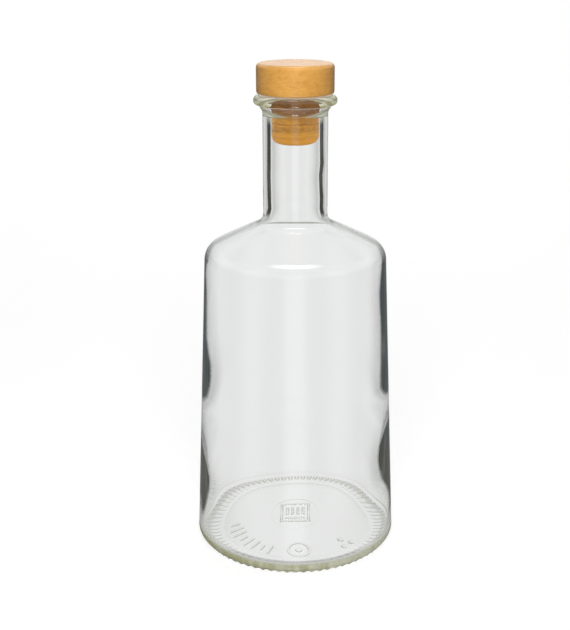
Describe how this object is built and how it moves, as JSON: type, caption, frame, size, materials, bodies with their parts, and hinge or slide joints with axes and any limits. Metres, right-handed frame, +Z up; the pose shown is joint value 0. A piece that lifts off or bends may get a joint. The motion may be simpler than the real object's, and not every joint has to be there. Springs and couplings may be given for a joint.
{
  "type": "cork-top bottle",
  "caption": "Clear glass bottle with a conical body, sloped shoulder, long neck, knurled base and a push-in cork stopper with a wooden grip.",
  "frame": {"origin": "middle of the circle that the bottle stands on", "axes": "+Z up the bottle's axis; the bottle is round, so +X and +Y are free"},
  "size_m": [0.0838, 0.0838, 0.1983],
  "materials": {
    "clear_glass": "clear, smooth blown soda-lime glass with a faint olive tint where it is thick",
    "varnished_wood": "fine-grained turned wood under a satin varnish",
    "cork": "dry matt cork, faintly banded"
  },
  "bodies": {
    "bottle": {"bottle": "clear_glass"},
    "stopper": {"stopper_head": "varnished_wood", "stopper_shank": "cork"}
  },
  "joints": [
    {"name": "stopper_pull", "type": "slide", "parent": "bottle", "child": "stopper", "axis": [0, 0, 1], "range_m": [0, 0.03]}
  ]
}
